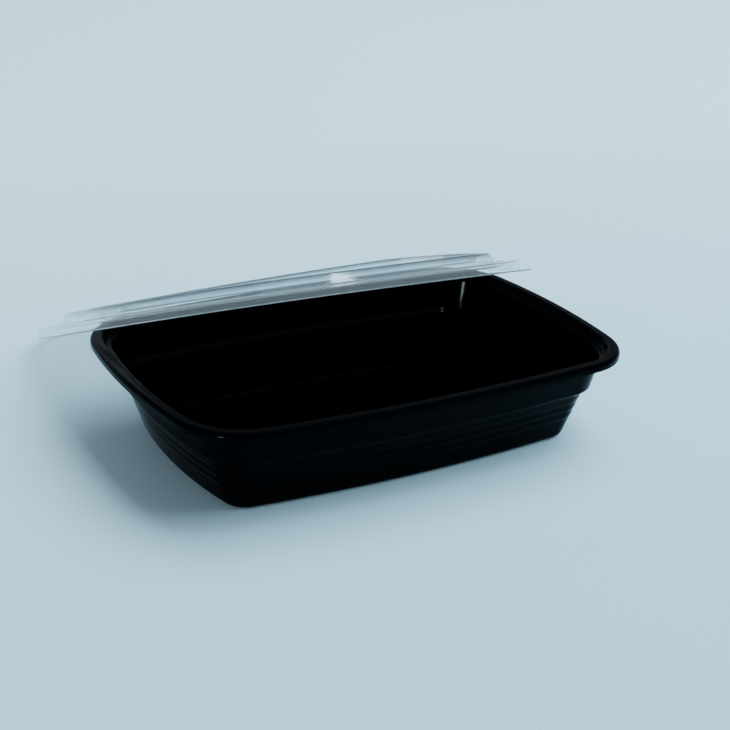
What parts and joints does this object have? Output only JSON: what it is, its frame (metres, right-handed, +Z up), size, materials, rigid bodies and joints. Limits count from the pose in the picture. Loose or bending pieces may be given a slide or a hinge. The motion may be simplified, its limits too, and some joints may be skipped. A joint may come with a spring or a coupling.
{
  "type": "takeaway meal container",
  "caption": "Rectangular takeaway meal tray in glossy black plastic, open and empty, with its loose clear lid leaning on the back rim and the table.",
  "frame": {"origin": "middle of the tray's flat underside, on the table", "axes": "+X along the tray's long side, +Y from the front of the tray towards the leaning lid, +Z up"},
  "size_m": [0.2317, 0.2234, 0.062],
  "materials": {
    "black_plastic": "glossy black thermoformed plastic sheet",
    "clear_plastic": "thin clear plastic sheet, slightly hazy"
  },
  "bodies": {
    "root": {"tray": "black_plastic", "lid": "clear_plastic"}
  },
  "joints": []
}
